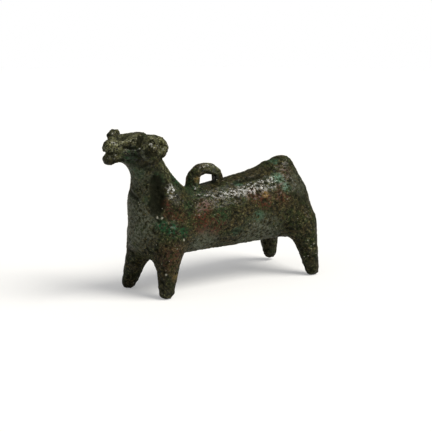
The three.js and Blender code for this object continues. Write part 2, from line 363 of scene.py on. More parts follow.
@dataclass
class Skin:
    """The mesh of the ram as arrays in millimetres, with the push that each point gets along its normal.

    Its limits are the lowest and highest corner of the box that it stays in, and cut is how deep strokes
    have gone.
    """

    mesh: bpy.types.Mesh
    limits: np.ndarray
    points: np.ndarray = field(init=False)
    normals: np.ndarray = field(init=False)
    push: np.ndarray = field(init=False)
    cut: np.ndarray = field(init=False)

    def __post_init__(self) -> None:
        """Reads the points and normals."""
        flat = np.empty(len(self.mesh.vertices) * 3, np.float32)
        self.mesh.vertices.foreach_get("co", flat)
        self.points = flat.reshape(-1, 3).astype(float) / MM
        self.push = np.zeros(len(self.points))
        self.cut = np.zeros(len(self.points))
        self._read_normals()

    def near(self, at: Point, reach: float) -> np.ndarray:
        """How close each point is to a place.

        Args:
            at: the place, in millimetres.
            reach: distance at which the answer has fallen to zero.

        Returns:
            One within the core of the reach, falling softly to zero at its end.
        """
        away = np.linalg.norm(self.points - np.array(at), axis=1)
        return smoothstep((1.0 - away / reach) / (1.0 - CORE))

    def along(self, stroke: Stroke, frame: HeadFrame | None = None) -> np.ndarray:
        """How much of a stroke each point gets.

        Args:
            stroke: the mark. Its path is in the head's frame if one is given, with out counted from the
                middle to its own side.
            frame: the head's frame, or None for the ram's.

        Returns:
            One on the stroke's line, falling softly to zero at its width.
        """
        if frame is None:
            return self._mark(stroke, self.points, self.normals, np.ones(3))
        points, normals = frame.of(self.points), frame.turned(self.normals)
        share = np.zeros(len(points))
        for side in (Side.LEFT, Side.RIGHT):
            if stroke.side in (side, Side.BOTH):
                mirror = np.array([1.0, side.value, 1.0])
                share = np.maximum(share, self._mark(stroke, points, normals, mirror))
        return share

    def carve(self, strokes: tuple[Stroke, ...], frame: HeadFrame | None = None) -> None:
        """Adds each stroke's height to the push, notes how deep the cuts are, and moves the skin.

        Args:
            strokes: the marks.
            frame: the head's frame if their paths are in it, or None for the ram's.
        """
        for stroke in strokes:
            height = stroke.height * self.along(stroke, frame)
            self.push += height
            self.cut = np.maximum(self.cut, -height)
        self.settle()

    def ripple(self, wave: Wave) -> np.ndarray:
        """The height of a wave at each point."""
        apart = Vector(way * wave.apart for way in NOISE_WAY)
        return wave.height * np.array([noise.noise(Vector(p) / wave.size + apart) for p in self.points])

    def paint(self, mask: Mask, values: np.ndarray) -> None:
        """Stores a painted layer on the mesh."""
        layer = self.mesh.attributes.new(mask.value, "FLOAT", "POINT")
        layer.data.foreach_set("value", np.clip(values, 0.0, 1.0).astype(np.float32))

    def settle(self) -> None:
        """Moves the points by their push, keeps them within the limits and writes them back."""
        self.points = np.clip(self.points + self.normals * self.push[:, None], *self.limits)
        self.push[:] = 0.0
        self.mesh.vertices.foreach_set("co", (self.points * MM).astype(np.float32).ravel())
        self.mesh.update()
        self._read_normals()

    def _mark(
        self, stroke: Stroke, points: np.ndarray, normals: np.ndarray, mirror: np.ndarray
    ) -> np.ndarray:
        """How much of a stroke each point gets on one side.

        Args:
            stroke: the mark.
            points: the skin's points in the stroke's frame.
            normals: the skin's normals in the stroke's frame.
            mirror: what the stroke's path and facing are multiplied by.

        Returns:
            One on the stroke's line, falling softly to zero at its width.
        """
        path = np.array(stroke.path, float) * mirror
        away = np.full(len(points), np.inf)
        for start, end in zip(path, path[1:]) if len(path) > 1 else [(path[0], path[0])]:
            run = end - start
            way = np.clip((points - start) @ run / max(float(run @ run), TINY), 0.0, 1.0)
            away = np.minimum(away, np.linalg.norm(points - start - way[:, None] * run, axis=1))
        mark = np.clip(1.0 - (away / stroke.width) ** 2, 0.0, 1.0) ** 2
        if stroke.facing:
            mark *= smoothstep(FACING_BLEND + normals @ (np.array(stroke.facing) * mirror))
        return mark

    def _read_normals(self) -> None:
        """Reads the mesh's normals."""
        flat = np.empty(len(self.points) * 3, np.float32)
        self.mesh.vertex_normals.foreach_get("vector", flat)
        self.normals = flat.reshape(-1, 3).astype(float)


@dataclass(frozen=True)
class Casting:
    """The ram's form as one even, closed skin, taken from a copy of the frame's solid."""

    weld: float = 0.001
    rounding: int = 2
    voxel: float = 0.39
    smoothing: int = 6

    def build(self, source: bpy.types.Object) -> bpy.types.Object:
        """Copies the solid, rounds its facets and remakes its skin.

        Args:
            source: the node of the frame, which stays as it is.

        Returns:
            The new piece.
        """
        bm = bmesh.new()
        bm.from_mesh(source.data)
        bmesh.ops.remove_doubles(bm, verts=bm.verts, dist=self.weld * MM)
        blank = bpy.data.meshes.new("blank")
        bm.to_mesh(blank)
        bm.free()
        model = bpy.data.objects.new("blank", blank)
        bpy.context.scene.collection.objects.link(model)
        rounded = model.modifiers.new("rounding", "SUBSURF")
        rounded.levels = rounded.render_levels = self.rounding
        even = model.modifiers.new("even", "REMESH")
        even.mode = "VOXEL"
        even.voxel_size = self.voxel * MM
        soft = model.modifiers.new("soft", "SMOOTH")
        soft.iterations = self.smoothing
        graph = bpy.context.evaluated_depsgraph_get()
        mesh = bpy.data.meshes.new_from_object(model.evaluated_get(graph))
        bpy.data.objects.remove(model)
        mesh.name = "ram"
        mesh.materials.clear()
        for polygon in mesh.polygons:
            polygon.use_smooth = True
        ram = bpy.data.objects.new("ram", mesh)
        bpy.context.scene.collection.objects.link(ram)
        return ram


@dataclass(frozen=True)
class Head:
    """The modelling of the face and horns, in the head's frame: ahead of the poll, out, up."""

    frame: HeadFrame = HeadFrame()
    eye: Point = (5.7, 4.8, -0.2)
    eye_radius: float = 1.05
    eye_steps: int = 12
    rim_width: float = 0.55
    rim_height: float = 0.3
    pupil_width: float = 0.7
    pupil_depth: float = 0.5
    face: tuple[Stroke, ...] = (
        # Brow ridge, the socket under it, the cheekbone, the hollow of the cheek and the crown.
        Stroke(((8.4, 3.4, 0.4), (7.0, 3.9, 0.6), (5.1, 4.5, 1.2), (2.8, 4.8, 1.5)), 1.2, 0.5),
        Stroke(((7.6, 3.5, -1.2), (5.4, 4.5, -1.8), (3.6, 5.3, -1.8)), 1.0, -0.45),
        Stroke(((8.2, 3.3, -2.4), (5.6, 4.4, -2.9), (3.4, 5.4, -2.9), (1.9, 6.2, -2.6)), 0.8, 0.4),
        Stroke(((7.8, 3.2, -4.2), (5.4, 4.4, -4.4), (3.2, 5.6, -4.5), (1.2, 6.8, -4.4)), 1.4, -0.3),
        Stroke(((-3.0, 0.0, 1.3), (3.0, 0.0, 1.2), (6.0, 0.0, 0.9)), 3.5, -0.45),
        # Mouth, the lip over it, nostril and the underside of the nose's tip.
        Stroke(((13.5, 0.3, -3.2), (12.6, 1.5, -3.3), (10.8, 2.3, -3.3), (9.0, 2.8, -3.6)), 0.75, -0.55),
        Stroke(((13.2, 1.3, -2.4), (12.0, 2.1, -2.3), (9.8, 2.8, -2.5)), 0.6, 0.3),
        Stroke(((13.7, 0.9, -0.3),), 0.7, -0.4),
        Stroke(((13.9, 0.3, -2.4), (13.2, 1.4, -2.4)), 1.0, -0.3),
        # The lower lip's crescent and the groove behind it.
        Stroke(((13.3, 1.2, -4.6), (12.9, 1.9, -5.6), (12.2, 2.0, -6.6)), 0.55, 0.3),
        Stroke(((12.1, 1.9, -4.4), (11.8, 2.2, -5.4), (11.2, 2.2, -6.2)), 0.6, -0.35),
    )
    horns: tuple[Stroke, ...] = (
        # The gap behind the eye, the hollow inside the horn's turn, its rim and the dip at its back.
        Stroke(((0.2, 4.0, 2.2), (1.2, 5.0, 1.2), (2.4, 6.3, -0.3)), 1.7, -1.4, facing=OUTWARD),
        Stroke(
            ((2.0, 9.2, -2.6), (0.4, 9.0, -3.4), (-1.8, 8.4, -3.8), (-3.6, 7.6, -3.6)),
            2.1, -1.3, facing=OUTWARD,
        ),
        Stroke(
            ((2.9, 8.2, -2.4), (2.4, 7.8, -4.2), (1.0, 7.4, -5.6), (-1.2, 7.0, -6.6), (-4.0, 6.7, -7.2)),
            0.9, 0.7,
        ),
        Stroke(((-5.4, 7.6, 1.6), (-6.4, 7.0, -0.6), (-6.2, 6.8, -2.8)), 0.9, -0.45, facing=OUTWARD),
        # The curl's ridge, with a pit inside it and one behind it.
        Stroke(((1.6, 10.9, 2.6), (3.2, 10.6, 1.5), (3.0, 11.0, -0.2), (1.5, 12.4, -1.1)), 0.9, 0.5),
        Stroke(((1.2, 11.0, 0.9),), 0.85, -0.6, facing=OUTWARD),
        Stroke(((-1.6, 12.0, 1.2),), 0.85, -0.6, facing=OUTWARD),
    )
    far_curl: tuple[Stroke, ...] = (
        # The thick front of the far horn's curl, which shows over the nose, and its two pits.
        Stroke(((3.6, 10.0, 0.8), (4.2, 9.0, -0.4)), 2.2, 0.9, Side.RIGHT),
        Stroke(((4.4, 8.0, -1.0), (5.0, 6.5, -1.0)), 2.2, 0.8, Side.RIGHT),
        Stroke(((3.4, 10.4, 1.9),), 0.75, -0.5, Side.RIGHT),
        Stroke(((2.2, 10.0, 2.8),), 0.7, -0.4, Side.RIGHT),
    )

    def model(self, skin: Skin) -> None:
        """Cuts and raises the marks, then sinks the eye inside its rim.

        Args:
            skin: the skin to model.
        """
        skin.carve(self.face + self.horns + self.far_curl, self.frame)
        rim = Stroke(self._rim(), self.rim_width, self.rim_height)
        pupil = Stroke((self.eye,), self.pupil_width, -self.pupil_depth)
        skin.carve((rim, pupil), self.frame)

    def _rim(self) -> tuple[Point, ...]:
        """The line round the eye, in the head's side plane.

        Returns:
            Its points, with the first again at the end.
        """
        ahead, out, up = self.eye
        turns = [2.0 * math.pi * n / self.eye_steps for n in range(self.eye_steps + 1)]
        ring = [(self.eye_radius * math.cos(a), self.eye_radius * math.sin(a)) for a in turns]
        return tuple((ahead + x, out, up + z) for x, z in ring)


@dataclass(frozen=True)
class Body:
    """The modelling of the chest, shoulder, back, loop and feet, in the ram's frame."""

    chest: tuple[Stroke, ...] = (
        # The fold across the chest, and its lip.
        Stroke(((-33.0, 3.5, 39.4), (-33.4, 0.5, 38.2), (-32.8, -2.2, 36.8)), 1.5, -0.45),
        Stroke(((-33.0, 3.5, 41.0), (-33.2, 0.5, 39.9), (-32.3, -3.0, 38.1)), 1.3, 0.25),
    )
    shoulder: tuple[Stroke, ...] = (
        # The hollow between neck and shoulder, and the shoulder's swell behind it.
        Stroke(((-27.7, -7.0, 43.0), (-27.7, -7.4, 38.5), (-28.0, -7.8, 34.0)), 3.6, -1.1),
        Stroke(((-23.0, -8.5, 36.0), (-20.5, -8.0, 38.3)), 4.5, 0.9),
    )
    back: tuple[Stroke, ...] = (
        # The ridge across the rump, the dip before it, and a groove along each edge of the back.
        Stroke(((29.5, -3.5, 43.0), (29.5, 3.5, 43.0)), 1.8, 0.45),
        Stroke(((26.5, -4.0, 41.0), (26.5, 4.0, 41.0)), 1.6, -0.35),
        Stroke(((10.0, -4.4, 38.6), (15.5, -4.6, 39.0), (21.5, -4.8, 39.8)), 1.6, -0.6),
        Stroke(((10.0, 4.4, 38.6), (15.5, 4.6, 39.0), (21.5, 4.8, 39.8)), 1.6, -0.4),
    )
    loop: tuple[Stroke, ...] = (
        # The inside of the front foot and of the top, the outside of the rear foot, and the top.
        Stroke(((-3.8, 0.0, 38.2), (-3.8, 0.0, 40.0)), 3.6, 0.65, facing=REARWARD),
        Stroke(((-2.0, 0.0, 42.2), (2.4, 0.0, 42.2)), 3.2, 0.45, facing=DOWNWARD),
        Stroke(((6.8, 0.0, 39.0), (5.4, 0.0, 42.0)), 3.2, 0.8, facing=REARWARD),
        Stroke(((-3.0, 0.0, 44.0), (2.0, 0.0, 44.4)), 2.4, 0.35, facing=UPWARD),
    )
    feet: tuple[Stroke, ...] = (
        # Lumps on the left front foot.
        Stroke(((-26.2, -12.6, 4.6),), 1.6, 0.4),
        Stroke(((-22.9, -12.0, 2.0),), 1.7, 0.5),
        Stroke(((-28.0, -9.6, 1.6),), 1.5, 0.4),
    )

    def model(self, skin: Skin) -> None:
        """Cuts and raises the marks."""
        skin.carve(self.chest + self.shoulder + self.back + self.loop + self.feet)


@dataclass(frozen=True)
class Scatter:
    """Pits or crusts strewn over the skin: how many, and their least and greatest radius and height."""

    count: int
    radius: tuple[float, float]
    height: tuple[float, float]


@dataclass(frozen=True)
class Texture:
    """A place where the skin is rougher or smoother than most of the ram, by a factor."""

    at: Point
    reach: float
    factor: float


@dataclass(frozen=True)
class Burial:
    """What casting and burial did to the skin: swells, cast grain, pits and crusts."""

    seed: int = 11
    swell: Wave = Wave(8.0, 0.16, apart=3.1)
    cast: Wave = Wave(2.4, 0.15, apart=8.8)
    grain: Wave = Wave(1.05, 0.10, apart=14.5)
    pits: Scatter = Scatter(2600, (0.40, 1.05), (-0.12, -0.34))
    crusts: Scatter = Scatter(1300, (0.45, 1.0), (0.06, 0.20))
    textures: tuple[Texture, ...] = (
        # The hollow before the shoulder, throat, chest, face, front feet and rear feet.
        Texture((-27.5, -7.5, 40.0), 8.0, 1.5),
        Texture((-36.0, 1.0, 42.0), 12.0, 0.4),
        Texture((-37.0, 0.0, 30.0), 12.0, 0.5),
        Texture((-40.0, 0.0, 57.0), 9.0, 1.6),
        Texture((-26.0, 0.0, 1.0), 17.0, 1.4),
        Texture((40.0, 0.0, 2.0), 20.0, 1.4),
    )

    def age(self, skin: Skin) -> np.ndarray:
        """Pushes the skin in and out, and settles it.

        Args:
            skin: the skin to age.

        Returns:
            The height of the pits and crusts at each point, in millimetres.
        """
        rough = np.ones(len(skin.points))
        for place in self.textures:
            rough *= 1.0 + (place.factor - 1.0) * skin.near(place.at, place.reach)
        skin.push += skin.ripple(self.swell)
        skin.push += skin.ripple(self.cast) * rough
        skin.push += skin.ripple(self.grain) * rough
        relief = self._strew(skin, rough)
        skin.push += relief
        skin.settle()
        return relief

    def _strew(self, skin: Skin, rough: np.ndarray) -> np.ndarray:
        """Strews the pits and the crusts.

        Args:
            skin: the skin that they lie on.
            rough: what the height of each is multiplied by.

        Returns:
            Their height at each point, in millimetres.
        """
        tree = kdtree.KDTree(len(skin.points))
        for i, p in enumerate(skin.points):
            tree.insert(p, i)
        tree.balance()
        dice = random.Random(self.seed)
        relief = np.zeros(len(skin.points))
        for scatter in (self.pits, self.crusts):
            for _ in range(scatter.count):
                centre = dice.randrange(len(skin.points))
                radius = dice.uniform(*scatter.radius)
                height = dice.uniform(*scatter.height) * rough[centre]
                for _, i, away in tree.find_range(skin.points[centre], radius):
                    relief[i] += height * (1.0 - (away / radius) ** 2) ** 2
        return relief


@dataclass(frozen=True)
class Patch:
    """A stain, or a patch of painted shade or highlight, on the skin: where its middle is, how far it
    reaches, and how strong it is.
    """

    at: Point
    reach: float
    mask: Mask
    strength: float = 1.0


@dataclass(frozen=True)
class StainsAndPaintedLight:
    """Where each layer of the patina, with the painted shade and highlight, lies on the side in sight.

    The other side has the like, of which those on the trunk are moved along it a little.
    """

    far_seed: int = 4
    far_shift: float = 7.0
    far_strength: float = 0.8
    trunk_half: float = 20.0
    crust: tuple[Patch, ...] = (
        # Face, crown, near curl, back of the head, nape and left front foot.
        Patch((-42.0, -2.0, 57.5), 7.5, Mask.OLIVE),
        Patch((-36.5, -1.5, 61.0), 6.5, Mask.OLIVE),
        Patch((-33.0, -10.0, 59.0), 5.0, Mask.OLIVE),
        Patch((-25.0, -6.5, 57.5), 5.5, Mask.OLIVE, 0.8),
        Patch((-22.0, -5.0, 46.5), 6.0, Mask.OLIVE, 0.7),
        Patch((-26.0, -11.0, 2.0), 4.5, Mask.OLIVE, 0.5),
    )
    grey: tuple[Patch, ...] = (
        # Painted highlight along the rim of the near horn, then grey on the chest, throat, belly's side and
        # rump.
        Patch((-34.1, -7.8, 55.6), 1.6, Mask.GREY),
        Patch((-33.7, -7.4, 53.8), 1.6, Mask.GREY),
        Patch((-32.3, -6.9, 52.4), 1.7, Mask.GREY),
        Patch((-30.2, -6.3, 51.4), 1.7, Mask.GREY),
        Patch((-34.0, 0.0, 28.0), 15.0, Mask.GREY),
        Patch((-33.0, -2.0, 43.0), 11.0, Mask.GREY, 0.5),
        Patch((-8.0, -8.0, 18.5), 9.0, Mask.GREY),
        Patch((18.0, -8.0, 18.0), 13.0, Mask.GREY),
        Patch((37.0, -9.0, 36.0), 7.0, Mask.GREY, 0.8),
    )
    green: tuple[Patch, ...] = (
        # Shoulder, withers, flank, cheek and neck.
        Patch((-27.0, -9.3, 27.3), 3.6, Mask.GREEN),
        Patch((-23.8, -11.2, 26.0), 4.4, Mask.GREEN),
        Patch((-19.5, -12.2, 24.2), 3.6, Mask.GREEN),
        Patch((-17.0, -4.1, 42.4), 6.0, Mask.GREEN, 0.8),
        Patch((-10.0, -3.0, 38.5), 8.0, Mask.GREEN, 0.6),
        Patch((-1.0, -11.0, 28.5), 5.5, Mask.GREEN, 0.6),
        Patch((-15.0, -9.0, 33.0), 5.0, Mask.GREEN, 0.5),
        Patch((-37.0, -4.5, 53.0), 5.0, Mask.GREEN, 0.8),
        Patch((-30.5, -6.0, 37.0), 3.5, Mask.GREEN, 0.5),
        Patch((-26.0, -6.5, 44.0), 4.5, Mask.GREEN, 0.8),
    )
    turquoise: tuple[Patch, ...] = (
        # Back, rump, flank, top of the rump and throat.
        Patch((11.0, -5.0, 38.2), 2.4, Mask.TURQUOISE),
        Patch((28.4, -7.6, 38.5), 3.5, Mask.TURQUOISE),
        Patch((30.0, -10.2, 35.0), 3.0, Mask.TURQUOISE, 0.8),
        Patch((15.8, -12.0, 26.0), 3.4, Mask.TURQUOISE, 0.5),
        Patch((6.0, -10.4, 20.8), 3.0, Mask.TURQUOISE, 0.4),
        Patch((31.5, -1.5, 43.5), 2.6, Mask.TURQUOISE, 0.6),
        Patch((-33.0, -2.5, 47.0), 4.0, Mask.TURQUOISE, 0.3),
    )
    cuprite: tuple[Patch, ...] = (
        # Flank from the shoulder back, rump, the shoulder's edge and the left front leg.
        Patch((-7.2, -8.8, 32.5), 4.6, Mask.CUPRITE),
        Patch((-10.0, -10.5, 26.8), 6.5, Mask.CUPRITE),
        Patch((-4.0, -11.0, 25.0), 6.5, Mask.CUPRITE, 0.9),
        Patch((14.5, -10.2, 34.0), 4.2, Mask.CUPRITE),
        Patch((19.0, -11.5, 31.5), 5.5, Mask.CUPRITE, 0.9),
        Patch((28.0, -9.5, 36.0), 2.8, Mask.CUPRITE),
        Patch((27.5, -12.0, 32.5), 5.0, Mask.CUPRITE, 0.8),
        Patch((33.0, -6.0, 39.5), 4.5, Mask.CUPRITE, 0.5),
        Patch((-24.4, -9.5, 32.0), 3.0, Mask.CUPRITE),
        Patch((-25.4, -9.0, 35.0), 3.0, Mask.CUPRITE),
        Patch((-20.5, -10.3, 30.0), 5.5, Mask.CUPRITE, 0.6),
        Patch((-25.0, -12.5, 15.5), 8.0, Mask.CUPRITE, 0.6),
    )
    ochre: tuple[Patch, ...] = (
        # Flank, withers, the loop's front foot and the left front leg.
        Patch((20.0, -10.6, 33.7), 2.0, Mask.OCHRE, 0.9),
        Patch((-14.0, -2.5, 40.5), 3.0, Mask.OCHRE, 0.6),
        Patch((-5.5, -1.5, 41.0), 2.0, Mask.OCHRE, 0.5),
        Patch((-23.5, -13.0, 8.0), 2.8, Mask.OCHRE, 0.5),
    )
    loop: tuple[Patch, ...] = (
        # Crust on the loop's top, and painted shade on the inside of its rear foot.
        Patch((0.0, 0.0, 45.0), 3.5, Mask.OLIVE, 0.6),
        Patch((3.8, 0.0, 40.0), 2.6, Mask.SHADE, 0.9),
    )
    shade: tuple[Patch, ...] = (
        # Painted shade in the hollow between neck and shoulder.
        Patch((-25.5, -5.5, 46.5), 3.6, Mask.SHADE, 0.7),
        Patch((-26.8, -7.2, 42.5), 5.2, Mask.SHADE),
        Patch((-27.6, -7.4, 38.0), 5.0, Mask.SHADE),
        Patch((-28.2, -7.9, 33.5), 4.4, Mask.SHADE, 0.85),
        # Painted shade in the hollow of the horn, the gap behind the eye, the eye's socket and the mouth, and
        # darker tone on the far curl.
        Patch((-31.0, -8.7, 54.9), 2.2, Mask.SHADE, 0.6),
        Patch((-32.6, -4.5, 59.4), 2.4, Mask.SHADE, 0.8),
        Patch((-37.4, -4.6, 56.8), 2.0, Mask.SHADE, 0.6),
        Patch((-44.5, -2.4, 52.4), 3.6, Mask.SHADE, 0.6),
        Patch((-35.4, 10.1, 60.0), 3.4, Mask.SHADE, 0.6),
        # Painted shadow under the cheek, the horn and the jaw.
        Patch((-34.0, -4.5, 51.0), 5.0, Mask.SHADE, 0.6),
        Patch((-31.0, -5.5, 49.0), 3.5, Mask.SHADE, 0.5),
        Patch((-40.0, -2.5, 51.0), 4.0, Mask.SHADE, 0.35),
        # Darker tone on the legs and rump.
        Patch((-25.5, -12.5, 3.0), 10.0, Mask.SHADE, 0.6),
        Patch((-29.0, -9.0, 14.0), 7.0, Mask.SHADE, 0.35),
        Patch((-27.0, 10.0, 3.0), 9.0, Mask.SHADE, 0.3),
        Patch((39.0, -15.0, 3.0), 9.0, Mask.SHADE, 0.4),
        Patch((36.0, -8.0, 24.0), 9.0, Mask.SHADE, 0.3),
        Patch((42.0, -10.0, 22.0), 9.0, Mask.SHADE, 0.3),
        Patch((38.0, -10.0, 32.0), 11.0, Mask.SHADE, 0.45),
    )
    dots: tuple[Patch, ...] = (
        # A pair and one more on the shoulder, one on the left front leg and one on the left rear leg.
        Patch((-28.1, -8.1, 30.4), 0.45, Mask.CHALK, 1.2),
        Patch((-26.6, -8.9, 30.2), 0.5, Mask.CHALK, 1.2),
        Patch((-19.7, -12.9, 21.8), 0.5, Mask.CHALK, 1.2),
        Patch((-27.2, -12.0, 9.6), 0.5, Mask.CHALK, 1.2),
        Patch((39.6, -16.4, 12.6), 0.45, Mask.CHALK, 1.5),
    )
    polish: tuple[Patch, ...] = (
        # The shoulder's swell, then a band along the upper flank.
        Patch((-21.0, -8.5, 38.0), 5.5, Mask.POLISH),
        Patch((-11.0, -6.0, 37.0), 5.0, Mask.POLISH, 0.6),
        Patch((-5.0, -4.5, 37.3), 5.0, Mask.POLISH, 0.9),
        Patch((0.0, -5.5, 36.8), 5.0, Mask.POLISH),
        Patch((5.0, -6.8, 36.3), 5.0, Mask.POLISH),
        Patch((10.0, -7.2, 36.6), 5.0, Mask.POLISH),
        Patch((15.0, -7.6, 37.0), 5.0, Mask.POLISH),
        Patch((20.0, -8.0, 37.4), 4.6, Mask.POLISH, 0.9),
        Patch((25.0, -8.2, 37.8), 4.2, Mask.POLISH, 0.7),
        # Top of the rump, loop, face, near horn and its curl, and the rump's edge.
        Patch((33.0, -3.0, 43.0), 7.0, Mask.POLISH, 0.2),
        Patch((0.0, 0.0, 44.0), 7.0, Mask.POLISH, 0.7),
        Patch((-38.0, -3.0, 59.0), 12.0, Mask.POLISH, 0.5),
        Patch((-30.0, -8.0, 59.0), 8.0, Mask.POLISH, 0.5),
        Patch((-32.5, -11.9, 57.6), 2.2, Mask.POLISH),
        Patch((44.0, -8.0, 30.0), 9.0, Mask.POLISH, 0.35),
    )

    def both_sides(self) -> tuple[Patch, ...]:
        """All patches, those in sight and their like on the other side.

        Returns:
            The patches.
        """
        seen = (
            self.crust + self.grey + self.green + self.turquoise + self.cuprite + self.ochre
            + self.loop + self.shade + self.dots + self.polish
        )
        dice = random.Random(self.far_seed)
        far = []
        for patch in seen:
            x, y, z = patch.at
            on_trunk = abs(x) < self.trunk_half
            shift = dice.uniform(-self.far_shift, self.far_shift) if on_trunk else 0.0
            far.append(Patch((x + shift, -y, z), patch.reach, patch.mask, patch.strength * self.far_strength))
        return seen + tuple(far)


class Socket(Enum):
    """Kinds of group socket."""

    NUMBER = "NodeSocketFloat"
    VECTOR = "NodeSocketVector"


@dataclass(frozen=True)
class Effect:
    """A node group that turns a place on the ram into a mask."""

    name: str

    def _start(self, numbers: tuple[str, ...]) -> tuple[bpy.types.NodeTree, bpy.types.Node, bpy.types.Node]:
        """Starts the group.

        Args:
            numbers: names of its inputs that follow Place.

        Returns:
            The group, its input node, and its output node with the one socket Mask.
        """
        tree = bpy.data.node_groups.new(self.name, "ShaderNodeTree")
        tree.interface.new_socket("Place", in_out="INPUT", socket_type=Socket.VECTOR.value)
        for number in numbers:
            tree.interface.new_socket(number, in_out="INPUT", socket_type=Socket.NUMBER.value)
        tree.interface.new_socket("Mask", in_out="OUTPUT", socket_type=Socket.NUMBER.value)
        return tree, tree.nodes.new("NodeGroupInput"), tree.nodes.new("NodeGroupOutput")


@dataclass(frozen=True)
class BlotchEffect(Effect):
    """Cloudy noise cut to a mask: the edge of a stain, or the mottle inside it."""

    name: str = "blotches"
    roughness: float = 0.6
    distortion: float = 0.7

    def group(self) -> bpy.types.NodeTree:
        """Makes the node group.

        Returns:
            A group with the inputs Place, Scale, Detail, Low and High and the output Mask.
        """
        tree, way_in, way_out = self._start(("Scale", "Detail", "Low", "High"))
        texture = tree.nodes.new("ShaderNodeTexNoise")
        texture.inputs["Roughness"].default_value = self.roughness
        texture.inputs["Distortion"].default_value = self.distortion
        cut = tree.nodes.new("ShaderNodeMapRange")
        cut.interpolation_type = "SMOOTHSTEP"
        tree.links.new(way_in.outputs["Place"], texture.inputs["Vector"])
        tree.links.new(way_in.outputs["Scale"], texture.inputs["Scale"])
        tree.links.new(way_in.outputs["Detail"], texture.inputs["Detail"])
        tree.links.new(texture.outputs["Fac"], cut.inputs["Value"])
        tree.links.new(way_in.outputs["Low"], cut.inputs["From Min"])
        tree.links.new(way_in.outputs["High"], cut.inputs["From Max"])
        tree.links.new(cut.outputs["Result"], way_out.inputs["Mask"])
        return tree


@dataclass(frozen=True)
class GrainEffect(Effect):
    """Separate grains: specks of dirt and chalk. Each is solid to its core's edge and fades to its rim."""

    name: str = "grains"
    core: float = 0.25
    rim: float = 0.62

    def group(self) -> bpy.types.NodeTree:
        """Makes the node group.

        Returns:
            A group with the inputs Place, Scale and Share and the output Mask.
        """
        tree, way_in, way_out = self._start(("Scale", "Share"))
        cells = tree.nodes.new("ShaderNodeTexVoronoi")
        pick = tree.nodes.new("ShaderNodeSeparateColor")
        chosen = tree.nodes.new("ShaderNodeMath")
        chosen.operation = "LESS_THAN"
        body = tree.nodes.new("ShaderNodeMapRange")
        body.interpolation_type = "SMOOTHSTEP"
        body.inputs["From Min"].default_value = self.rim
        body.inputs["From Max"].default_value = self.core
        both = tree.nodes.new("ShaderNodeMath")
        both.operation = "MULTIPLY"
        tree.links.new(way_in.outputs["Place"], cells.inputs["Vector"])
        tree.links.new(way_in.outputs["Scale"], cells.inputs["Scale"])
        tree.links.new(cells.outputs["Color"], pick.inputs["Color"])
        tree.links.new(pick.outputs["Red"], chosen.inputs[0])
        tree.links.new(way_in.outputs["Share"], chosen.inputs[1])
        tree.links.new(cells.outputs["Distance"], body.inputs["Value"])
        tree.links.new(chosen.outputs["Value"], both.inputs[0])
        tree.links.new(body.outputs["Result"], both.inputs[1])
        tree.links.new(both.outputs["Value"], way_out.inputs["Mask"])
        return tree


@dataclass(frozen=True)
class Mottle:
    """Cloudy noise: how wide its clouds are, and from where to where in the noise they fade in."""

    size: float
    low: float
    high: float
    detail: float = 4.0


@dataclass(frozen=True)
class Grains:
    """Separate grains: how far apart their places are, and the share of the places that have one."""

    size: float
    share: float


Cover = Mask | Mottle | Grains


@dataclass(frozen=True)
class Layer:
    """One colour of the patina: it shows where all its covers do, and there by its share."""

    name: str
    colour: Colour
    covers: tuple[Cover, ...]
    share: float = 1.0


@dataclass(frozen=True)
class FineRelief:
    """Fine relief in the shading alone: its pattern, how strongly it shades, and its height."""

    pattern: Mottle
    strength: float
    height: float


